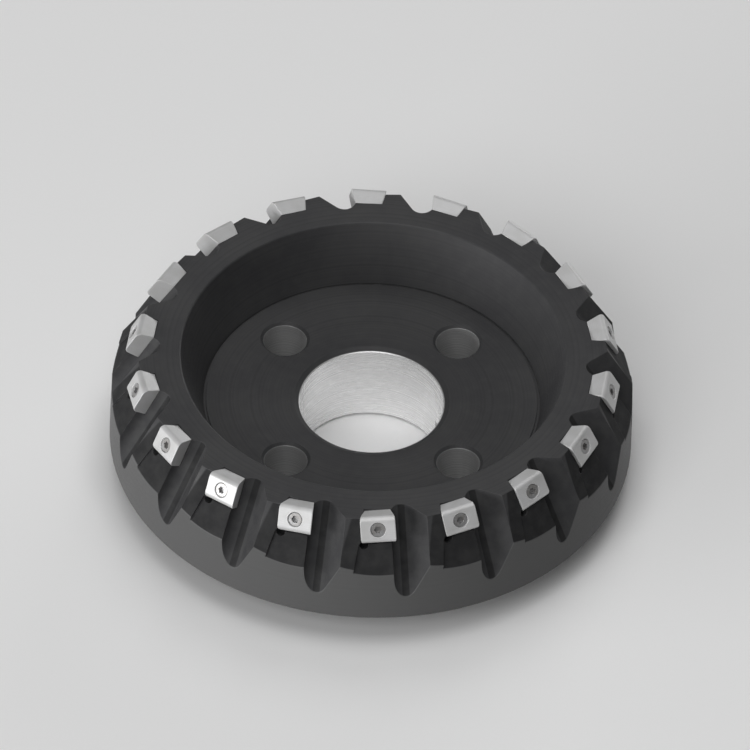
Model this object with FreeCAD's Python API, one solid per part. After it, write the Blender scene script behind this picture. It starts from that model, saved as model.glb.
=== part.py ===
import FreeCAD, Part
import math
import os

# Face mill with tangential screw-clamped inserts, right-hand cut, millimetres.
# Origin: centre of the back (mounting) face.  +Z runs along the spindle axis to the cutting face.

V = FreeCAD.Vector
X_AXIS = V(1, 0, 0)
Y_AXIS = V(0, 1, 0)
Z_AXIS = V(0, 0, 1)
ORIGIN = V(0, 0, 0)
TINY = 1e-3

# --- cutter body: standard four-bolt mount ---
BODY_HEIGHT = 63.0
PILOT_BORE_RADIUS = 30.0
BOLT_CIRCLE_RADIUS = 101.6 / 2
BOLT_HOLE_RADIUS = 9.0
BOLT_HOLE_COUNT = 4
FIRST_BOLT_ANGLE = 45.0
KEY_SLOT_WIDTH = 25.7
KEY_SLOT_DEPTH = 14.0
BOSS_RADIUS = 72.0
BOSS_HEIGHT = 16.3
BOSS_FILLET = 5.0

# --- cutter body: ring, cone and front recess ---
RING_RADIUS = 108.6
CONE_TOP_RADIUS = 97.8
CONE_HEIGHT = 18.0
RECESS_RIM_RADIUS = 80.3
RECESS_FLOOR_RADIUS = 70.2
RECESS_DEPTH = 25.2
CORNER_GROOVE_WIDTH = 1.2
CORNER_GROOVE_DEPTH = 0.8
EDGE_BREAK = 0.4
BOSS_CHAMFER = 1.0
BORE_FRONT_CHAMFER = 2.4
BORE_FRONT_CHAMFER_DEPTH = 1.3
BORE_BACK_CHAMFER = 1.5
HOLE_FRONT_CHAMFER = 1.3
HOLE_BACK_CHAMFER = 0.5

# --- insert stations ---
STATION_COUNT = 18
STATION_PITCH = 360.0 / STATION_COUNT
FIRST_STATION_ANGLE = -89.0
FACE_CENTRE_RADIUS = 101.0
FACE_CENTRE_BELOW_FRONT = 2.9
FACE_ELEVATION = 27.5
AXIAL_TILT = 4.4
RADIAL_CLEARANCE = 2.2

# --- insert: a block with a wide screw face and tapered sides ---
INSERT_WIDTH = 14.9
INSERT_HEIGHT = 11.0
INSERT_THICKNESS = 7.0
INSERT_SIDE_TAPER = 16.0
INSERT_END_FLARE = 9.5
INSERT_NOSE_RADIUS = 2.2
INSERT_EDGE_HONE = 0.25
INSERT_HOLE_RADIUS = 2.25
COUNTERSINK_RADIUS = 3.25
COUNTERSINK_LEAD = 0.35
COUNTERSINK_HALF_ANGLE = 30.0

# --- clamping screw ---
THREAD_RADIUS = 2.0
THREAD_ROOT_RADIUS = 1.62
THREAD_PITCH = 0.7
HEAD_RADIUS = 2.95
HEAD_SINK = 0.35
HEAD_RIM = 0.3
HEAD_EDGE_BREAK = 0.15
SCREW_LENGTH = 15.5
SCREW_TIP_RADIUS = 1.32
THREAD_START = 7.6
SOCKET_RADIUS = 1.65
SOCKET_LOBE_RADIUS = 0.4
SOCKET_LOBES = 6
SOCKET_CORE_RADIUS = 1.35
SOCKET_DEPTH = 1.6

# --- pocket: insert seat, screw thread, milled land around it and channel below it ---
POCKET_GAP = 0.03
POCKET_TOP = 8.0
TAPPED_HOLE_RADIUS = 2.08
TAPPED_HOLE_DEPTH = 18.5
DRILL_TIP_HEIGHT = 1.2
DRILL_TIP_RADIUS = 0.01
RELIEF_HOLE_RADIUS = 1.9
RELIEF_HOLE_CENTRE = (-6.4, -6.9)
RELIEF_HOLE_DEPTH = 7.3
LAND_DEPTH = 2.1
CHANNEL_DEPTH = 3.0
CHANNEL_TOP = -6.4
CHANNEL_TRAILING_SIDE = -8.4
CHANNEL_SPREAD_ANGLE = 14.0

# --- chip gullet ---
GULLET_ELEVATION = 29.5
GULLET_TILT = 4.0
GULLET_WALL = 5.5
GULLET_RADIUS = 5.2
GULLET_FLOOR = 9.8
GULLET_LOWEST_ANGLE = 20.0
GULLET_FAR_WALL_ANGLE = 51.0
GULLET_UP = 30.0
GULLET_DOWN = 48.0

# --- how far the cutting shapes run on past the metal ---
REACH = 40.0
OVERRUN = 1.0
SLOT_OVERRUN = 4.0


def revolve(points):
    """Solid of revolution about Z from a closed (radius, z) outline."""
    outline = [V(radius, 0, z) for radius, z in points]
    outline.append(outline[0])
    return Part.Face(Part.makePolygon(outline)).revolve(ORIGIN, Z_AXIS, 360)


def cone_frustum(bottom_radius, top_radius, height, centre):
    return Part.makeCone(bottom_radius, top_radius, height, centre, Z_AXIS)


def station_placement(angle, elevation, tilt, clearance=0.0):
    """Frame of one insert face: x leads, y runs up the cone, z points out of the body."""
    centre = V(FACE_CENTRE_RADIUS, 0, BODY_HEIGHT - FACE_CENTRE_BELOW_FRONT)
    lean = math.radians(elevation)
    up_the_cone = V(-math.sin(lean), 0, math.cos(lean))
    outward = V(math.cos(lean), 0, math.sin(lean))
    upright = FreeCAD.Rotation(Y_AXIS, up_the_cone, outward, "ZXY")
    tilted = upright.multiply(FreeCAD.Rotation(Z_AXIS, tilt))
    turned = tilted.multiply(FreeCAD.Rotation(Y_AXIS, -clearance))
    around = FreeCAD.Placement(ORIGIN, FreeCAD.Rotation(Z_AXIS, angle))
    return around.multiply(FreeCAD.Placement(centre, turned))


def placed(shape, placement):
    copy = shape.copy()
    copy.transformShape(placement.toMatrix())
    return copy


def station_angle(index):
    return FIRST_STATION_ANGLE + index * STATION_PITCH


def insert_placement(index):
    return station_placement(station_angle(index), FACE_ELEVATION, AXIAL_TILT, RADIAL_CLEARANCE)


def gullet_placement(index):
    return station_placement(station_angle(index), GULLET_ELEVATION, GULLET_TILT)


def local_box(x_low, x_high, y_low, y_high, z_low, z_high):
    return Part.makeBox(x_high - x_low, y_high - y_low, z_high - z_low, V(x_low, y_low, z_low))


def tapered_block(base_half, top_half, z_low, z_high):
    """Frustum between two (half width, half height) rectangles."""
    wires = []
    for (half_x, half_y), z in ((base_half, z_low), (top_half, z_high)):
        corners = [
            V(-half_x, -half_y, z),
            V(half_x, -half_y, z),
            V(half_x, half_y, z),
            V(-half_x, half_y, z),
        ]
        wires.append(Part.makePolygon(corners + corners[:1]))
    return Part.makeLoft(wires, True, True)


# ---------------------------------------------------------------- cutter body

def turned_blank():
    front = BODY_HEIGHT
    floor = front - RECESS_DEPTH
    groove_radius = RECESS_FLOOR_RADIUS - CORNER_GROOVE_WIDTH
    recess_slope = (RECESS_RIM_RADIUS - RECESS_FLOOR_RADIUS) / RECESS_DEPTH
    outline = [
        (PILOT_BORE_RADIUS, BORE_BACK_CHAMFER),
        (PILOT_BORE_RADIUS + BORE_BACK_CHAMFER, 0),
        (BOSS_RADIUS - BOSS_CHAMFER, 0),
        (BOSS_RADIUS, BOSS_CHAMFER),
        (BOSS_RADIUS, BOSS_HEIGHT),
        (RING_RADIUS - EDGE_BREAK, BOSS_HEIGHT),
        (RING_RADIUS, BOSS_HEIGHT + EDGE_BREAK),
        (RING_RADIUS, front - CONE_HEIGHT),
        (CONE_TOP_RADIUS, front),
        (RECESS_RIM_RADIUS + EDGE_BREAK, front),
        (RECESS_RIM_RADIUS - EDGE_BREAK * recess_slope, front - EDGE_BREAK),
        (RECESS_FLOOR_RADIUS, floor),
        (RECESS_FLOOR_RADIUS, floor - CORNER_GROOVE_DEPTH),
        (groove_radius, floor - CORNER_GROOVE_DEPTH),
        (groove_radius, floor),
        (PILOT_BORE_RADIUS + BORE_FRONT_CHAMFER, floor),
        (PILOT_BORE_RADIUS, floor - BORE_FRONT_CHAMFER_DEPTH),
    ]
    blank = revolve(outline)
    root = [edge for edge in blank.Edges
            if abs(edge.BoundBox.ZMin - BOSS_HEIGHT) < TINY and abs(edge.BoundBox.ZMax - BOSS_HEIGHT) < TINY
            and abs(edge.BoundBox.XMax - BOSS_RADIUS) < TINY]
    return blank.makeFillet(BOSS_FILLET, root)


def bolt_hole(index):
    angle = math.radians(FIRST_BOLT_ANGLE + index * 360.0 / BOLT_HOLE_COUNT)
    x = BOLT_CIRCLE_RADIUS * math.cos(angle)
    y = BOLT_CIRCLE_RADIUS * math.sin(angle)
    floor = BODY_HEIGHT - RECESS_DEPTH
    hole = Part.makeCylinder(BOLT_HOLE_RADIUS, floor + 2 * OVERRUN, V(x, y, -OVERRUN), Z_AXIS)
    front_lead = cone_frustum(BOLT_HOLE_RADIUS, BOLT_HOLE_RADIUS + HOLE_FRONT_CHAMFER, HOLE_FRONT_CHAMFER,
                              V(x, y, floor - HOLE_FRONT_CHAMFER))
    back_lead = cone_frustum(BOLT_HOLE_RADIUS + HOLE_BACK_CHAMFER, BOLT_HOLE_RADIUS, HOLE_BACK_CHAMFER,
                             V(x, y, 0))
    return [hole, front_lead, back_lead]


def key_slot(side):
    """Drive-key slot across the back face, open to the bore and to the boss's rim."""
    inner = PILOT_BORE_RADIUS - SLOT_OVERRUN
    outer = BOSS_RADIUS + BOSS_FILLET
    start = inner if side > 0 else -outer
    return Part.makeBox(outer - inner, KEY_SLOT_WIDTH, KEY_SLOT_DEPTH + OVERRUN,
                        V(start, -KEY_SLOT_WIDTH / 2, -OVERRUN))


def gullet_tool():
    """Chip gullet in its own frame: straight wall under the rake face, round floor, sloping far wall."""
    centre_x = GULLET_WALL + GULLET_RADIUS
    centre_z = GULLET_RADIUS - GULLET_FLOOR
    slope = math.radians(GULLET_FAR_WALL_ANGLE)
    middle = math.radians(GULLET_LOWEST_ANGLE)
    leave = V(centre_x + GULLET_RADIUS * math.cos(slope), 0, centre_z - GULLET_RADIUS * math.sin(slope))
    lowest = V(centre_x - GULLET_RADIUS * math.sin(middle), 0, centre_z - GULLET_RADIUS * math.cos(middle))
    enter = V(GULLET_WALL, 0, centre_z)
    rise = REACH / 2
    far_top = V(leave.x + (rise - leave.z) * math.tan(slope), 0, rise)
    near_top = V(GULLET_WALL, 0, rise)
    edges = [
        Part.makeLine(near_top, enter),
        Part.Arc(enter, lowest, leave).toShape(),
        Part.makeLine(leave, far_top),
        Part.makeLine(far_top, near_top),
    ]
    face = Part.Face(Part.Wire(edges))
    face.translate(V(0, -GULLET_DOWN, 0))
    return face.extrude(V(0, GULLET_DOWN + GULLET_UP, 0))


def land_tool():
    """Flat milled on the cone around the insert, from the front face down to the ring."""
    return local_box(-REACH, GULLET_WALL + SLOT_OVERRUN, -REACH, REACH, -LAND_DEPTH, REACH)


def channel_tool():
    """Shallow channel from the seat down to the ring, a little deeper than the land, widening as it goes."""
    spread = (REACH + CHANNEL_TOP) * math.tan(math.radians(CHANNEL_SPREAD_ANGLE))
    corners = [
        V(CHANNEL_TRAILING_SIDE, CHANNEL_TOP, -CHANNEL_DEPTH),
        V(GULLET_WALL + SLOT_OVERRUN, CHANNEL_TOP, -CHANNEL_DEPTH),
        V(GULLET_WALL + SLOT_OVERRUN, -REACH, -CHANNEL_DEPTH),
        V(CHANNEL_TRAILING_SIDE - spread, -REACH, -CHANNEL_DEPTH),
    ]
    face = Part.Face(Part.makePolygon(corners + corners[:1]))
    return face.extrude(V(0, 0, REACH))


def insert_half_sizes():
    side = INSERT_THICKNESS * math.tan(math.radians(INSERT_SIDE_TAPER))
    flare = INSERT_THICKNESS * math.tan(math.radians(INSERT_END_FLARE))
    base = (INSERT_WIDTH / 2 - side, INSERT_HEIGHT / 2 + flare)
    face = (INSERT_WIDTH / 2, INSERT_HEIGHT / 2)
    return base, face


def pocket_tool():
    """Insert seat: flat bottom, tapered trailing wall, straight lower wall, open at front and gullet."""
    (base_x, base_y), (face_x, _) = insert_half_sizes()
    seat = -INSERT_THICKNESS - POCKET_GAP
    low = -base_y - POCKET_GAP
    lead = GULLET_WALL + SLOT_OVERRUN
    slope = (face_x - base_x) / INSERT_THICKNESS
    corners = [
        V(-base_x - POCKET_GAP, low, seat),
        V(lead, low, seat),
        V(lead, low, POCKET_TOP),
        V(-base_x - POCKET_GAP - slope * (POCKET_TOP - seat), low, POCKET_TOP),
    ]
    face = Part.Face(Part.makePolygon(corners + corners[:1]))
    return face.extrude(V(0, REACH - low, 0))


def relief_tool():
    """Drilled relief in the pocket's blind corner, so that the insert's corner has room."""
    x, y = RELIEF_HOLE_CENTRE
    return Part.makeCylinder(RELIEF_HOLE_RADIUS, REACH, V(x, y, -RELIEF_HOLE_DEPTH), Z_AXIS)


def tapped_hole_tool():
    hole = Part.makeCylinder(TAPPED_HOLE_RADIUS, TAPPED_HOLE_DEPTH, V(0, 0, -TAPPED_HOLE_DEPTH), Z_AXIS)
    tip = cone_frustum(DRILL_TIP_RADIUS, TAPPED_HOLE_RADIUS, DRILL_TIP_HEIGHT,
                       V(0, 0, -TAPPED_HOLE_DEPTH - DRILL_TIP_HEIGHT))
    return hole.fuse(tip)


def cutter_body():
    body = turned_blank()
    cutters = []
    for index in range(BOLT_HOLE_COUNT):
        cutters += bolt_hole(index)
    cutters += [key_slot(1), key_slot(-1)]
    body = body.cut(cutters)
    gullet = gullet_tool()
    land = land_tool()
    channel = channel_tool()
    pocket_parts = [pocket_tool(), relief_tool(), tapped_hole_tool()]
    for index in range(STATION_COUNT):
        frame = insert_placement(index)
        wedge_frame = gullet_placement(index)
        body = body.cut(placed(gullet, wedge_frame))
        tools = [placed(tool, frame) for tool in pocket_parts]
        tools += [placed(land, wedge_frame), placed(channel, wedge_frame)]
        body = body.cut(tools)
    return body


# -------------------------------------------------------------------- insert

def insert():
    base, face = insert_half_sizes()
    block = tapered_block(base, face, -INSERT_THICKNESS, 0)
    long_edges = [edge for edge in block.Edges
                  if abs(edge.BoundBox.ZMin) < TINY and edge.BoundBox.YLength < TINY]
    block = block.makeFillet(INSERT_NOSE_RADIUS, long_edges)
    side_edges = [edge for edge in block.Edges
                  if abs(edge.BoundBox.ZMin) < TINY and edge.BoundBox.XLength < TINY]
    block = block.makeFillet(INSERT_EDGE_HONE, side_edges)
    hole = Part.makeCylinder(INSERT_HOLE_RADIUS, INSERT_THICKNESS + 2 * OVERRUN,
                             V(0, 0, -INSERT_THICKNESS - OVERRUN), Z_AXIS)
    sink_height = (COUNTERSINK_RADIUS - INSERT_HOLE_RADIUS) / math.tan(math.radians(COUNTERSINK_HALF_ANGLE))
    sink = cone_frustum(INSERT_HOLE_RADIUS, COUNTERSINK_RADIUS, sink_height,
                        V(0, 0, -COUNTERSINK_LEAD - sink_height))
    mouth = Part.makeCylinder(COUNTERSINK_RADIUS, COUNTERSINK_LEAD + OVERRUN,
                              V(0, 0, -COUNTERSINK_LEAD), Z_AXIS)
    return block.cut([hole, sink, mouth])


# --------------------------------------------------------------------- screw

def screw_profile():
    """Half outline of the screw: countersunk head, plain neck, ring-grooved thread, pointed end."""
    top = -HEAD_SINK
    head_low = top - HEAD_RIM
    cone_height = (HEAD_RADIUS - THREAD_RADIUS) / math.tan(math.radians(COUNTERSINK_HALF_ANGLE))
    points = [
        (0, top),
        (HEAD_RADIUS - HEAD_EDGE_BREAK, top),
        (HEAD_RADIUS, top - HEAD_EDGE_BREAK),
        (HEAD_RADIUS, head_low),
        (THREAD_RADIUS, head_low - cone_height),
    ]
    z = -THREAD_START
    while z - THREAD_PITCH > -SCREW_LENGTH:
        points.append((THREAD_RADIUS, z))
        points.append((THREAD_ROOT_RADIUS, z - THREAD_PITCH / 2))
        z -= THREAD_PITCH
    points.append((THREAD_RADIUS, z))
    points.append((SCREW_TIP_RADIUS, -SCREW_LENGTH))
    points.append((0, -SCREW_LENGTH))
    return points


def star_socket():
    """Six-lobed driver recess."""
    bottom = -HEAD_SINK - SOCKET_DEPTH
    height = SOCKET_DEPTH + OVERRUN
    reach = SOCKET_RADIUS - SOCKET_LOBE_RADIUS
    core = Part.makeCylinder(SOCKET_CORE_RADIUS, height, V(0, 0, bottom), Z_AXIS)
    lobes = []
    for index in range(SOCKET_LOBES):
        angle = math.radians(index * 360.0 / SOCKET_LOBES)
        centre = V(reach * math.cos(angle), reach * math.sin(angle), bottom)
        lobes.append(Part.makeCylinder(SOCKET_LOBE_RADIUS, height, centre, Z_AXIS))
    return core.fuse(lobes)


def insert_screw():
    return revolve(screw_profile()).cut(star_socket())


# --------------------------------------------------------------------- write

def write(name, shape):
    shape.exportStep(os.path.join("parts", name + ".step"))


def main():
    os.makedirs("parts", exist_ok=True)
    write("cutter_body", cutter_body())
    insert_shape = insert()
    screw_shape = insert_screw()
    for index in range(STATION_COUNT):
        frame = insert_placement(index)
        write("insert_%02d" % (index + 1), placed(insert_shape, frame))
        write("insert_screw_%02d" % (index + 1), placed(screw_shape, frame))


main()
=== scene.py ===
import math

import bpy
from mathutils import Matrix, Vector


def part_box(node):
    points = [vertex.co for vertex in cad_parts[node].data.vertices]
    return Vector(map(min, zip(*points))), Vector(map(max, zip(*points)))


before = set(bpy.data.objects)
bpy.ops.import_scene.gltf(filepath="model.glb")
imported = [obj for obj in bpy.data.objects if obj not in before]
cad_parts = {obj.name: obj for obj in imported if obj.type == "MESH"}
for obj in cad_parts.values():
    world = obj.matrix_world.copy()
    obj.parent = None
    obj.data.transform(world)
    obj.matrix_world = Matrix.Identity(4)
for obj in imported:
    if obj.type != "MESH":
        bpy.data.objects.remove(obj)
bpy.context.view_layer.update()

# Everything is in metres, in the frame of the CAD model: +Z towards the cutting face.
MM = 0.001
BODY_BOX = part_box("cutter_body")
FRONT_FACE_Z = BODY_BOX[1][2]

# Camera: a parallel view, so only its direction and the width it takes in matter.
VIEW_ELEVATION = 44.0
VIEW_AZIMUTH = -1.6
VIEW_ROLL = 2.0
VIEW_WIDTH = 0.3122
VIEW_DISTANCE = 1.2
# Where the centre of the front rim sits, as shares of the view's width from the middle of the view.
RIM_CENTRE_SHIFT = (-0.0024, 0.0247)

# Ground pilot bore: bare steel, its tone lifted near white as a painted reflection.
BORE_RADIUS = 30.0 * MM
BORE_BACK_CHAMFER = 1.5 * MM
BORE_TOP = 36.5 * MM
MASK_EDGE = 0.35 * MM

# Bolt holes: their walls get a light metal tone, painted light that makes the holes read lit inside.
BOLT_HOLE_PLACE = 101.6 / 2 * math.sqrt(0.5) * MM
BOLT_HOLE_RADIUS = 9.0 * MM
BOLT_HOLE_TOP = 36.4 * MM

# Turned outside of the body: a ring, then a cone up to the front face.
# What lies inside it counts as milled.
RING_RADIUS = 108.6 * MM
CONE_TOP_RADIUS = 97.8 * MM
CONE_SLOPE = 0.6
RIM_RADIUS = 82.0 * MM
RING_BOTTOM = 17.0 * MM
SKIN = 0.15 * MM
# Flats that face this far above the horizon count as insert lands, within the two cosines.
SEAT_ELEVATION = 27.5
LAND_FACING_LOW = 0.94
LAND_FACING_HIGH = 0.97

# Surface marks: lines or grains in a metre, and widths and depths in metres.
TURNING_LINES = 900.0
TURNING_LEAN = 0.8
BORE_GRINDING_LINES = 2600.0
STEEL_GRAIN = 1500.0
STEEL_SMEARS = 190.0
STEEL_CLOUDS = 28.0
STEEL_EDGE_WIDTH = 0.35 * MM
STEEL_RELIEF = 0.008 * MM
INSERT_GRINDING_LINES = 5200.0
INSERT_GRINDING_LEAN = -0.6
INSERT_GRAIN = 5200.0
INSERT_CLOUDS = 110.0
INSERT_EDGE_WIDTH = 0.3 * MM
INSERT_RELIEF = 0.003 * MM
SCREW_GRAIN = 6000.0
SCREW_CLOUDS = 420.0
SCREW_EDGE_WIDTH = 0.12 * MM
SCREW_RELIEF = 0.004 * MM
PAPER_GRAIN = 900.0

# Tones of grey, dark and light, from 0 to 1.
OXIDE_TONES = (0.045, 0.057)
OXIDE_SMEAR_TONE = 0.066
OXIDE_TURNING_TONE = 0.033
GULLET_TONES = (0.040, 0.050)
# Painted shade: the insert lands are darker than the other milled faces.
LAND_SHADE_TONES = (0.018, 0.027)
# Painted light: the outer ring band is lighter than the oxide so that it reads lit.
RING_LIGHT_TONES = (0.088, 0.104)
WORN_EDGE_TONE = 0.16
# Painted light: light tone for the bolt-hole walls.
HOLE_WALL_LIGHT_TONES = (0.50, 0.70)
# Bare ground steel, lifted near white: partly real, partly painted reflection.
BORE_STEEL_AND_SHEEN_TONES = (0.90, 0.96)
INSERT_LINE_TONE = 0.46
# Painted highlight: near-white tone along the insert edges.
INSERT_EDGE_HIGHLIGHT_TONE = 0.92
SCREW_EDGE_TONE = 0.55
PAPER_TONES = (0.87, 0.89)

# Colours that are not quite grey, dark and light.
INSERT_COLORS = ((0.50, 0.50, 0.495, 1.0), (0.58, 0.58, 0.585, 1.0))
SCREW_COLORS = ((0.30, 0.29, 0.28, 1.0), (0.38, 0.38, 0.385, 1.0))

# Share of metal: full metal would be 1.
WORN_METAL = 0.6
HOLE_WALL_METAL = 0.8
BORE_METAL = 0.7
INSERT_METAL = 0.3
SCREW_METAL = 0.7

# Roughness, low and high, and what is added to it by clouds, turning marks and milling.
OXIDE_ROUGHNESS = (0.40, 0.48)
BORE_ROUGHNESS = (0.24, 0.28)
INSERT_ROUGHNESS = (0.40, 0.48)
SCREW_ROUGHNESS = (0.34, 0.46)
PAPER_ROUGHNESS = 0.95
CLOUD_ROUGHNESS = 0.06
TURNING_ROUGHNESS = 0.03
MILLED_ROUGHNESS = 0.25
STEEL_SPECULAR = 0.15
PAPER_SPECULAR = 0.1

# Studio: soft lamps that all face the cutter
# (name, azimuth, elevation, width, height, power in watts).
LAMP_DISTANCE = 3.2
LAMPS = [
    ("overhead", -90.0, 80.0, 2.0, 2.0, 35.0),
    ("front", -112.0, 42.0, 1.8, 1.4, 28.0),
    ("low_left", -154.0, 7.0, 2.6, 1.0, 92.0),
    ("back", 80.0, 60.0, 1.8, 1.4, 14.0),
    ("low_back", 62.0, 14.0, 1.8, 1.0, 24.0),
]
WORLD_STRENGTH = 0.02
FLOOR_HALF_SIZE = 6.0


# ------------------------------------------------------------------ materials

class Graph:
    """A material's node tree, with a short call for each kind of node used here."""

    def __init__(self, name):
        self.material = bpy.data.materials.new(name)
        self.material.use_nodes = True
        self.nodes = self.material.node_tree.nodes
        self.links = self.material.node_tree.links
        self.shader = self.nodes["Principled BSDF"]
        self.place = self.nodes.new("ShaderNodeTexCoord").outputs["Object"]
        split = self.nodes.new("ShaderNodeSeparateXYZ")
        self.links.new(self.place, split.inputs[0])
        self.x, self.y, self.z = split.outputs
        self.normal = self.nodes.new("ShaderNodeNewGeometry").outputs["Normal"]

    def plug(self, target, value):
        if isinstance(value, bpy.types.NodeSocket):
            self.links.new(value, target)
        else:
            target.default_value = value

    def set(self, name, value):
        self.plug(self.shader.inputs[name], value)

    def math(self, operation, first, second=0.0):
        node = self.nodes.new("ShaderNodeMath")
        node.operation = operation
        self.plug(node.inputs[0], first)
        self.plug(node.inputs[1], second)
        return node.outputs[0]

    def step(self, value, low, high, from_low=0.0, to_high=1.0):
        """Smooth step: from_low below low, to_high above high."""
        node = self.nodes.new("ShaderNodeMapRange")
        node.interpolation_type = "SMOOTHSTEP"
        for name, number in (("Value", value), ("From Min", low), ("From Max", high),
                             ("To Min", from_low), ("To Max", to_high)):
            self.plug(node.inputs[name], number)
        return node.outputs["Result"]

    def noise(self, scale, detail=3.0):
        """Noise with features about 1/scale metres across."""
        texture = self.nodes.new("ShaderNodeTexNoise")
        self.links.new(self.place, texture.inputs["Vector"])
        texture.inputs["Scale"].default_value = scale
        texture.inputs["Detail"].default_value = detail
        return texture.outputs["Fac"]

    def lines(self, along, scale, detail=2.0):
        """Noise in one dimension: uneven lines square to the coordinate given."""
        texture = self.nodes.new("ShaderNodeTexNoise")
        texture.noise_dimensions = "1D"
        self.plug(texture.inputs["W"], along)
        texture.inputs["Scale"].default_value = scale
        texture.inputs["Detail"].default_value = detail
        return texture.outputs["Fac"]

    def mix(self, factor, first, second):
        node = self.nodes.new("ShaderNodeMix")
        node.data_type = "RGBA"
        self.plug(node.inputs["Factor"], factor)
        self.plug(node.inputs["A"], first)
        self.plug(node.inputs["B"], second)
        return node.outputs["Result"]

    def blend(self, factor, first, second):
        """A number that goes from first to second as factor goes from 0 to 1."""
        node = self.nodes.new("ShaderNodeMapRange")
        self.plug(node.inputs["Value"], factor)
        self.plug(node.inputs["To Min"], first)
        self.plug(node.inputs["To Max"], second)
        return node.outputs["Result"]

    def length(self, first, second):
        squares = [self.math("MULTIPLY", value, value) for value in (first, second)]
        return self.math("SQRT", self.math("ADD", *squares))

    def radius(self):
        """Distance from the spindle axis."""
        return self.length(self.x, self.y)

    def worn_and_highlit_edges(self, width):
        """1 on the object's edges and 0 on its faces, and the normal with those edges rounded."""
        bevel = self.nodes.new("ShaderNodeBevel")
        bevel.samples = 4
        bevel.inputs["Radius"].default_value = width
        dot = self.nodes.new("ShaderNodeVectorMath")
        dot.operation = "DOT_PRODUCT"
        self.links.new(bevel.outputs["Normal"], dot.inputs[0])
        self.links.new(self.normal, dot.inputs[1])
        return self.step(dot.outputs["Value"], 0.80, 0.985, 1.0, 0.0), bevel.outputs["Normal"]

    def bump(self, height, depth, normal=None):
        node = self.nodes.new("ShaderNodeBump")
        node.inputs["Strength"].default_value = 1.0
        node.inputs["Distance"].default_value = depth
        self.links.new(height, node.inputs["Height"])
        if normal is not None:
            self.links.new(normal, node.inputs["Normal"])
        return node.outputs["Normal"]


def grey(value, blue=0.0):
    return (value, value, value * (1.0 + blue), 1.0)


def cool_greys(graph, factor, tones):
    """From the dark tone to the light one, the dark one slightly bluer."""
    dark, light = tones
    return graph.mix(factor, grey(dark, 0.05), grey(light, 0.02))


def ground_bore(graph, radius):
    """1 on the wall and back chamfer of the pilot bore, 0 elsewhere."""
    outer = BORE_RADIUS + BORE_BACK_CHAMFER
    within = graph.step(radius, outer, outer + MASK_EDGE, 1.0, 0.0)
    below = graph.step(graph.z, BORE_TOP, BORE_TOP + MASK_EDGE, 1.0, 0.0)
    return graph.math("MULTIPLY", within, below)


def drilled_holes(graph):
    """1 on the walls of the four bolt holes, 0 elsewhere."""
    across = graph.math("SUBTRACT", graph.math("ABSOLUTE", graph.x), BOLT_HOLE_PLACE)
    along = graph.math("SUBTRACT", graph.math("ABSOLUTE", graph.y), BOLT_HOLE_PLACE)
    distance = graph.length(across, along)
    outer = BOLT_HOLE_RADIUS + MASK_EDGE
    within = graph.step(distance, outer, outer + MASK_EDGE, 1.0, 0.0)
    below = graph.step(graph.z, BOLT_HOLE_TOP, BOLT_HOLE_TOP + MASK_EDGE, 1.0, 0.0)
    return graph.math("MULTIPLY", within, below)


def milled_pockets(graph, radius):
    """1 where a cutter has gone below the turned skin of the ring and cone, 0 elsewhere."""
    down = graph.math("SUBTRACT", FRONT_FACE_Z, graph.z)
    cone = graph.math("ADD", graph.math("MULTIPLY", down, CONE_SLOPE), CONE_TOP_RADIUS)
    skin = graph.math("MINIMUM", cone, RING_RADIUS)
    depth = graph.math("SUBTRACT", skin, radius)
    inside = graph.step(depth, SKIN, 2 * SKIN)
    below_face = graph.step(down, SKIN, 2 * SKIN)
    under_skin = graph.math("MULTIPLY", inside, below_face)
    on_rim = graph.math("MULTIPLY", graph.math("GREATER_THAN", radius, RIM_RADIUS),
                        graph.math("GREATER_THAN", graph.z, RING_BOTTOM))
    return graph.math("MULTIPLY", under_skin, on_rim)


def insert_lands(graph, radius):
    """1 on flats that lean as the insert seats do, 0 on walls and floors that lean otherwise."""
    lean = math.radians(SEAT_ELEVATION)
    split = graph.nodes.new("ShaderNodeSeparateXYZ")
    graph.links.new(graph.normal, split.inputs[0])
    outward = [
        graph.math("MULTIPLY", split.outputs[0], graph.x),
        graph.math("MULTIPLY", split.outputs[1], graph.y),
    ]
    across = graph.math("DIVIDE", graph.math("ADD", *outward), radius)
    facing = graph.math("ADD", graph.math("MULTIPLY", across, math.cos(lean)),
                        graph.math("MULTIPLY", split.outputs[2], math.sin(lean)))
    return graph.step(facing, LAND_FACING_LOW, LAND_FACING_HIGH)


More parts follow.
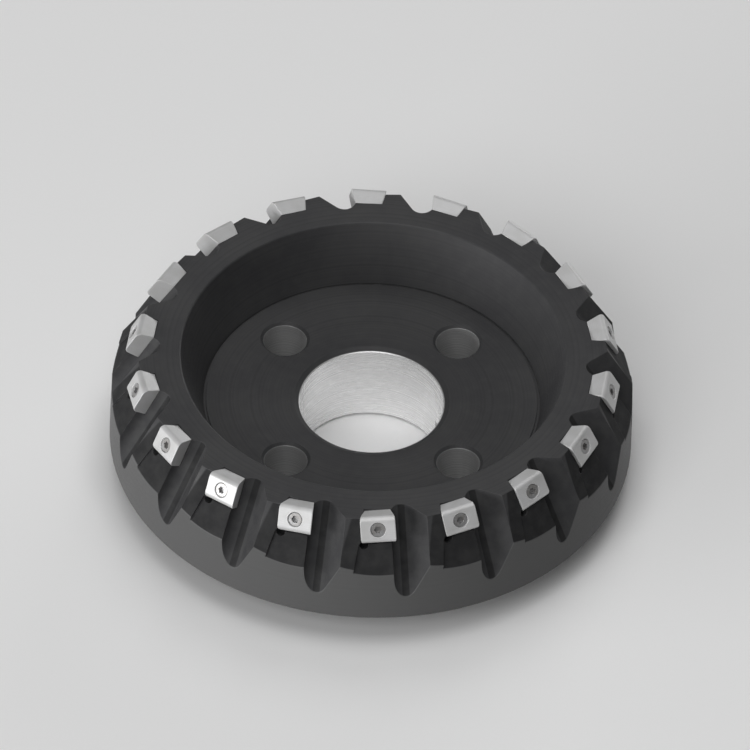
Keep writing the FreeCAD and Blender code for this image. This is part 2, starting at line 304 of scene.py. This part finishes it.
def body_steel():
    """Black oxide on turned and milled steel, with the pilot bore ground bare; painted light lifts the
    outer ring, the bolt-hole walls and the bore, and painted shade darkens the insert lands.
    """
    graph = Graph("black_oxide_steel")
    radius = graph.radius()
    ground = ground_bore(graph, radius)
    drilled = drilled_holes(graph)
    milled = milled_pockets(graph, radius)

    # The turning tool's path runs round the axis, so its marks follow radius and height together.
    feed = graph.math("ADD", radius, graph.math("MULTIPLY", graph.z, TURNING_LEAN))
    turning = graph.lines(feed, TURNING_LINES)
    grinding = graph.lines(graph.z, BORE_GRINDING_LINES)
    clouds = graph.noise(STEEL_CLOUDS, 4.0)
    grain = graph.noise(STEEL_GRAIN, 2.0)
    smears = graph.noise(STEEL_SMEARS, 3.0)

    oxide = cool_greys(graph, graph.step(clouds, 0.3, 0.7), OXIDE_TONES)
    oxide = graph.mix(graph.step(smears, 0.35, 0.8, 0.0, 0.35), oxide, grey(OXIDE_SMEAR_TONE))
    oxide = graph.mix(graph.step(turning, 0.35, 0.75, 0.0, 0.3), oxide, grey(OXIDE_TURNING_TONE, 0.04))
    gullet = cool_greys(graph, graph.step(smears, 0.3, 0.7), GULLET_TONES)
    # Painted shade: lands, picked by the way they face, get a darker copy of the oxide.
    shaded_land = cool_greys(graph, graph.step(smears, 0.3, 0.7), LAND_SHADE_TONES)
    # Painted light on the outer ring band, still varied by its real turning lines.
    painted_ring_light = graph.step(radius, RING_RADIUS - 2 * SKIN, RING_RADIUS - SKIN, 0.0, 0.8)
    oxide = graph.mix(painted_ring_light, oxide, graph.mix(turning, grey(RING_LIGHT_TONES[0]), grey(RING_LIGHT_TONES[1])))
    oxide = graph.mix(milled, oxide, graph.mix(insert_lands(graph, radius), gullet, shaded_land))
    edges, rounded = graph.worn_and_highlit_edges(STEEL_EDGE_WIDTH)
    worn = graph.math("MULTIPLY", edges, graph.step(smears, 0.42, 0.62, 0.05, 0.4))
    oxide = graph.mix(worn, oxide, grey(WORN_EDGE_TONE))
    # Painted light: the bolt-hole walls get a light metal tone.
    hole_lines = graph.step(grinding, 0.3, 0.7)
    hole_wall = graph.mix(hole_lines, grey(HOLE_WALL_LIGHT_TONES[0]), grey(HOLE_WALL_LIGHT_TONES[1]))
    oxide = graph.mix(drilled, oxide, hole_wall)
    # Bore: bare ground steel, its tone lifted near white as a painted reflection.
    bore_lines = graph.step(grinding, 0.2, 0.8)
    bright = graph.mix(bore_lines, grey(BORE_STEEL_AND_SHEEN_TONES[0]), grey(BORE_STEEL_AND_SHEEN_TONES[1]))
    graph.set("Base Color", graph.mix(ground, oxide, bright))
    worn_metal = graph.math("MULTIPLY", worn, WORN_METAL)
    bare = graph.math("MAXIMUM", worn_metal, graph.math("MULTIPLY", drilled, HOLE_WALL_METAL))
    graph.set("Metallic", graph.math("MAXIMUM", graph.math("MULTIPLY", ground, BORE_METAL), bare))

    satin = graph.step(grain, 0.3, 0.7, *OXIDE_ROUGHNESS)
    satin = graph.math("ADD", satin, graph.step(clouds, 0.3, 0.7, 0.0, CLOUD_ROUGHNESS))
    turned = graph.step(turning, 0.3, 0.7, -TURNING_ROUGHNESS, TURNING_ROUGHNESS)
    satin = graph.math("ADD", satin, turned)
    satin = graph.math("ADD", satin, graph.math("MULTIPLY", milled, MILLED_ROUGHNESS))
    honed = graph.step(grinding, 0.2, 0.8, *BORE_ROUGHNESS)
    graph.set("Roughness", graph.blend(ground, satin, honed))
    graph.set("Specular IOR Level", STEEL_SPECULAR)

    marks = graph.math("MULTIPLY", turning, 0.6)
    surface = graph.math("ADD", marks, graph.math("MULTIPLY", grain, 0.4))
    surface = graph.blend(ground, surface, graph.math("MULTIPLY", grinding, 0.03))
    graph.set("Normal", graph.bump(surface, STEEL_RELIEF, rounded))
    return graph.material


def carbide():
    """Bright ground cemented carbide: fine grinding lines, faint clouds, and a painted highlight on
    every edge.
    """
    graph = Graph("ground_carbide")
    across = graph.math("ADD", graph.radius(), graph.math("MULTIPLY", graph.z, INSERT_GRINDING_LEAN))
    grinding = graph.lines(across, INSERT_GRINDING_LINES)
    clouds = graph.noise(INSERT_CLOUDS, 3.0)
    grain = graph.noise(INSERT_GRAIN, 2.0)
    color = graph.mix(graph.step(clouds, 0.3, 0.7), *INSERT_COLORS)
    color = graph.mix(graph.step(grinding, 0.35, 0.7, 0.0, 0.5), color, grey(INSERT_LINE_TONE))
    edges, rounded = graph.worn_and_highlit_edges(INSERT_EDGE_WIDTH)
    # Painted highlight: every insert edge is lightened towards near white.
    color = graph.mix(edges, color, grey(INSERT_EDGE_HIGHLIGHT_TONE))
    graph.set("Base Color", color)
    graph.set("Metallic", INSERT_METAL)
    satin = graph.step(grinding, 0.3, 0.7, *INSERT_ROUGHNESS)
    cloudy = graph.step(clouds, 0.3, 0.7, 0.0, CLOUD_ROUGHNESS)
    graph.set("Roughness", graph.math("ADD", satin, cloudy))
    marks = graph.math("MULTIPLY", grinding, 0.7)
    surface = graph.math("ADD", marks, graph.math("MULTIPLY", grain, 0.3))
    graph.set("Normal", graph.bump(surface, INSERT_RELIEF, rounded))
    return graph.material


def screw_steel():
    """Plain screw steel: satin grey, slightly warm where it is darker."""
    graph = Graph("screw_steel")
    clouds = graph.noise(SCREW_CLOUDS, 3.0)
    grain = graph.noise(SCREW_GRAIN, 2.0)
    color = graph.mix(graph.step(clouds, 0.3, 0.7), *SCREW_COLORS)
    edges, rounded = graph.worn_and_highlit_edges(SCREW_EDGE_WIDTH)
    color = graph.mix(graph.math("MULTIPLY", edges, 0.7), color, grey(SCREW_EDGE_TONE))
    graph.set("Base Color", color)
    graph.set("Metallic", SCREW_METAL)
    graph.set("Roughness", graph.step(grain, 0.3, 0.7, *SCREW_ROUGHNESS))
    graph.set("Normal", graph.bump(grain, SCREW_RELIEF, rounded))
    return graph.material


def dress(node, material):
    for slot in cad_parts[node].material_slots:
        slot.material = material


def dress_cutter():
    steel = body_steel()
    insert_material = carbide()
    screw_material = screw_steel()
    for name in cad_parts:
        if name == "cutter_body":
            dress(name, steel)
        elif name.startswith("insert_screw"):
            dress(name, screw_material)
        else:
            dress(name, insert_material)


# --------------------------------------------------------------------- studio

def direction(azimuth, elevation):
    """Unit vector towards a compass point and height, azimuth 0 along +X."""
    turn = math.radians(azimuth)
    rise = math.radians(elevation)
    level = math.cos(rise)
    return Vector((math.cos(turn) * level, math.sin(turn) * level, math.sin(rise)))


def make_camera():
    data = bpy.data.cameras.new("camera")
    data.type = "ORTHO"
    data.ortho_scale = VIEW_WIDTH
    camera = bpy.data.objects.new("camera", data)
    bpy.context.collection.objects.link(camera)
    toward_camera = direction(VIEW_AZIMUTH - 90.0, VIEW_ELEVATION)
    roll = Matrix.Rotation(math.radians(VIEW_ROLL), 3, "Z")
    turn = toward_camera.to_track_quat("Z", "Y").to_matrix() @ roll
    shift = Vector((RIM_CENTRE_SHIFT[0], RIM_CENTRE_SHIFT[1], 0.0)) * VIEW_WIDTH
    place = Vector((0, 0, FRONT_FACE_Z)) + toward_camera * VIEW_DISTANCE - turn @ shift
    camera.matrix_world = Matrix.Translation(place) @ turn.to_4x4()
    bpy.context.scene.camera = camera


def make_floor():
    size = FLOOR_HALF_SIZE
    mesh = bpy.data.meshes.new("floor")
    corners = [(-size, -size, 0), (size, -size, 0), (size, size, 0), (-size, size, 0)]
    mesh.from_pydata(corners, [], [(0, 1, 2, 3)])
    floor = bpy.data.objects.new("floor", mesh)
    bpy.context.collection.objects.link(floor)
    graph = Graph("floor_paper")
    paper = graph.mix(graph.noise(PAPER_GRAIN), grey(PAPER_TONES[0]), grey(PAPER_TONES[1]))
    graph.set("Base Color", paper)
    graph.set("Roughness", PAPER_ROUGHNESS)
    graph.set("Specular IOR Level", PAPER_SPECULAR)
    mesh.materials.append(graph.material)


def make_lamp(name, azimuth, elevation, width, height, power):
    data = bpy.data.lights.new(name, "AREA")
    data.shape = "RECTANGLE"
    data.size = width
    data.size_y = height
    data.energy = power
    lamp = bpy.data.objects.new(name, data)
    bpy.context.collection.objects.link(lamp)
    aim = direction(azimuth, elevation)
    facing = aim.to_track_quat("Z", "Y").to_matrix().to_4x4()
    lamp.matrix_world = Matrix.Translation(aim * LAMP_DISTANCE) @ facing


def make_world():
    world = bpy.data.worlds.new("studio")
    world.use_nodes = True
    background = world.node_tree.nodes["Background"]
    background.inputs["Color"].default_value = (1, 1, 1, 1)
    background.inputs["Strength"].default_value = WORLD_STRENGTH
    bpy.context.scene.world = world


def make_studio():
    make_camera()
    make_floor()
    for lamp in LAMPS:
        make_lamp(*lamp)
    make_world()
    bpy.context.scene.view_settings.view_transform = "Standard"


dress_cutter()
make_studio()
